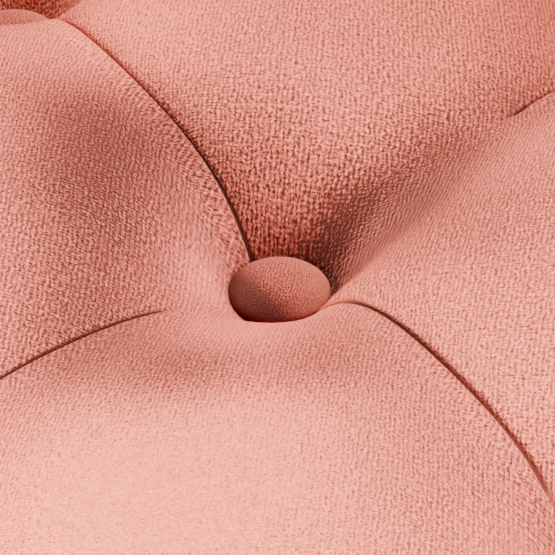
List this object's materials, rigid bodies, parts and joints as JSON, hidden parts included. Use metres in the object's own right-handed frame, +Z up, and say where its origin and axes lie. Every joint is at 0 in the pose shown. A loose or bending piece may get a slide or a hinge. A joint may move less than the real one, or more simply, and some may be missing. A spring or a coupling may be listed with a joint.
{
  "type": "styling chair",
  "caption": "Deep-buttoned velvet tub chair for a hair salon, on a hydraulic pump column with a round base, a rear foot pedal and a T-bar footrest.",
  "frame": {"origin": "on the column's axis, in the flat underside of the base plate", "axes": "+Z up along the column, -Y towards the front and the footrest, +X to the right of someone facing the chair"},
  "size_m": [0.6748, 0.9071, 0.9293],
  "materials": {
    "chrome": "polished chrome plate",
    "plate_steel": "black painted steel plate",
    "rod_steel": "ground and polished steel",
    "pump_casting": "grey hammered paint on steel",
    "zinc_steel": "zinc plated steel",
    "black_rubber": "matt black rubber",
    "plywood": "bare birch plywood",
    "black_plastic": "moulded black plastic",
    "pink_velvet": "dusty pink ribbed velvet over foam"
  },
  "bodies": {
    "base": {"base_plate": "plate_steel", "base_cover": "chrome", "pump_housing": "pump_casting", "cylinder_head": "zinc_steel", "flange_bolt_1": "zinc_steel", "flange_bolt_2": "zinc_steel", "flange_bolt_3": "zinc_steel", "pedal_pivot_pin": "zinc_steel"},
    "ram": {"piston_rod": "rod_steel", "piston_seal": "black_rubber", "lift_sleeve": "chrome", "thrust_bearing": "zinc_steel"},
    "seat": {"seat_bracket": "plate_steel", "plate_bolt_1": "zinc_steel", "plate_bolt_2": "zinc_steel", "plate_bolt_3": "zinc_steel", "plate_bolt_4": "zinc_steel", "seat_board": "plywood", "seat_cushion": "pink_velvet", "shell_ply": "plywood", "inside_back_pad": "pink_velvet", "outside_cover": "pink_velvet", "arm_facing_left": "pink_velvet", "arm_facing_right": "pink_velvet", "footrest_stem": "chrome", "footrest_bar": "chrome", "footrest_tread": "black_rubber", "footrest_cap_left": "black_plastic", "footrest_cap_right": "black_plastic", "footrest_bolt_1": "zinc_steel", "footrest_bolt_2": "zinc_steel", "seat_button_01": "pink_velvet", "seat_button_02": "pink_velvet", "seat_button_03": "pink_velvet", "seat_button_04": "pink_velvet", "seat_button_05": "pink_velvet", "seat_button_06": "pink_velvet", "seat_button_07": "pink_velvet", "seat_button_08": "pink_velvet", "seat_button_09": "pink_velvet", "seat_button_10": "pink_velvet", "seat_button_11": "pink_velvet", "back_button_01": "pink_velvet", "back_button_02": "pink_velvet", "back_button_03": "pink_velvet", "back_button_04": "pink_velvet", "back_button_05": "pink_velvet", "back_button_06": "pink_velvet", "back_button_07": "pink_velvet", "back_button_08": "pink_velvet", "back_button_09": "pink_velvet", "back_button_10": "pink_velvet", "back_button_11": "pink_velvet", "back_button_12": "pink_velvet", "back_button_13": "pink_velvet", "back_button_14": "pink_velvet", "back_button_15": "pink_velvet"},
    "pedal": {"pedal_arm": "pump_casting", "pedal_pad": "black_rubber"},
    "plunger": {"pump_plunger": "rod_steel"}
  },
  "joints": [
    {"name": "lift", "type": "slide", "parent": "base", "child": "ram", "axis": [0, 0, 1], "range_m": [0, 0.14]},
    {"name": "swivel", "type": "hinge", "parent": "ram", "child": "seat", "pos_m": [0, 0, 0.32], "axis": [0, 0, 1], "continuous": true},
    {"name": "pedal_pivot", "type": "hinge", "parent": "base", "child": "pedal", "pos_m": [0, 0.068, 0.085], "axis": [1, 0, 0], "range_deg": [-14, 0], "stiffness_Nm_per_rad": 6, "springref_deg": 22.92},
    {"name": "plunger_slide", "type": "slide", "parent": "base", "child": "plunger", "axis": [0, 0, 1], "range_m": [-0.0095, 0]}
  ],
  "couplings": [
    {"joint": "plunger_slide", "follows": "pedal_pivot", "m_per_rad": 0.0335}
  ]
}
